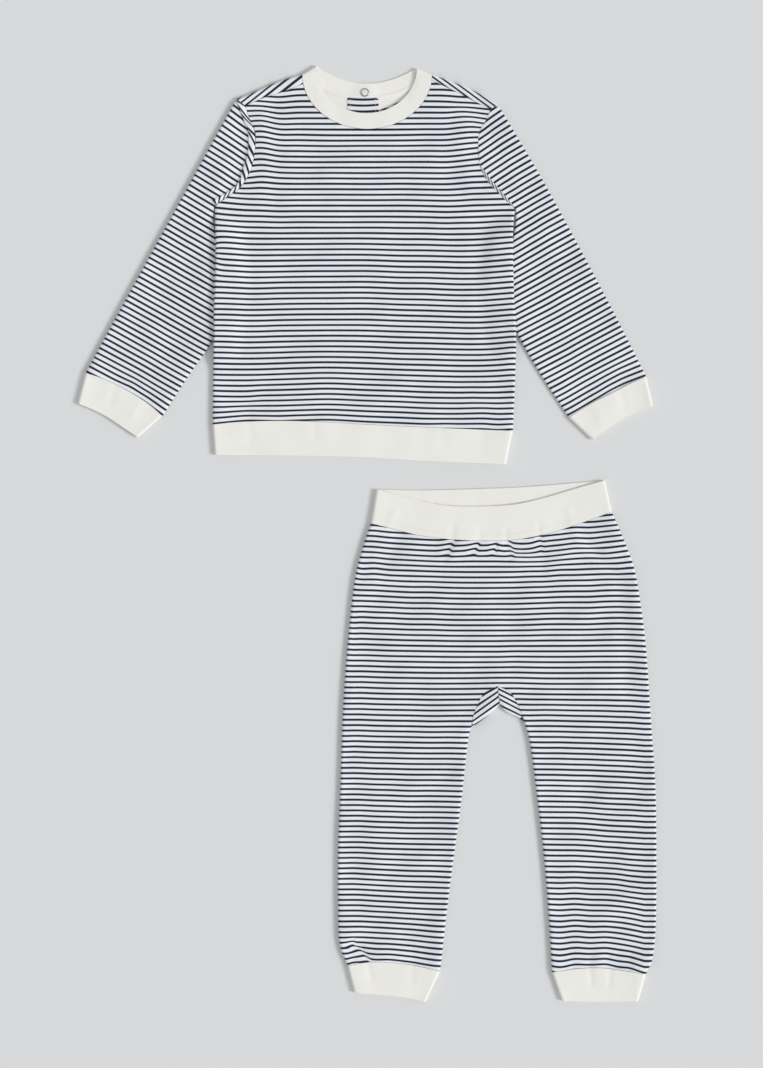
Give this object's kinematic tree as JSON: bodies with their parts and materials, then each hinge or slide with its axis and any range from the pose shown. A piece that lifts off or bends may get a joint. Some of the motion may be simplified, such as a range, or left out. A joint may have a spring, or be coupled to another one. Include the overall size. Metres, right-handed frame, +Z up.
{
  "type": "toddler pyjama set laid flat",
  "caption": "Long-sleeved top and pull-on trousers in striped jersey with plain rib neckband, cuffs, hem band and waistband, laid out flat one above the other",
  "frame": {"origin": "middle of the set's bounding box, on the surface it lies on", "axes": "+Y up the page from the trousers to the neck, +X to the right as seen from above, +Z up off the surface"},
  "size_m": [0.5492, 0.8884, 0.0094],
  "materials": {
    "top_front": "single jersey, navy pinstripes on white, matt",
    "top_back": "single jersey, navy pinstripes on white, matt",
    "sleeve_left": "single jersey, navy pinstripes on white, matt",
    "sleeve_right": "single jersey, navy pinstripes on white, matt",
    "placket_facing": "single jersey, navy pinstripes on white, matt",
    "trousers_front": "single jersey, navy pinstripes on white, matt",
    "trousers_back_left": "single jersey, navy pinstripes on white, matt",
    "trousers_back_right": "single jersey, navy pinstripes on white, matt",
    "cuff_left": "cream cotton rib, matt",
    "cuff_right": "cream cotton rib, matt",
    "hem_band": "cream cotton rib, matt",
    "neckband": "cream cotton rib, matt",
    "waistband": "cream cotton rib, matt",
    "ankle_cuff_left": "cream cotton rib, matt",
    "ankle_cuff_right": "cream cotton rib, matt",
    "snap_ring": "satin metal",
    "snap_pearl": "pale pearly insert",
    "snap_cap": "satin metal"
  },
  "bodies": {
    "root": {"top_front": "top_front", "top_back": "top_back", "sleeve_left": "sleeve_left", "sleeve_right": "sleeve_right", "placket_facing": "placket_facing", "trousers_front": "trousers_front", "trousers_back_left": "trousers_back_left", "trousers_back_right": "trousers_back_right", "cuff_left": "cuff_left", "cuff_right": "cuff_right", "hem_band": "hem_band", "neckband": "neckband", "waistband": "waistband", "ankle_cuff_left": "ankle_cuff_left", "ankle_cuff_right": "ankle_cuff_right", "snap_ring": "snap_ring", "snap_pearl": "snap_pearl", "snap_cap": "snap_cap"}
  },
  "joints": []
}
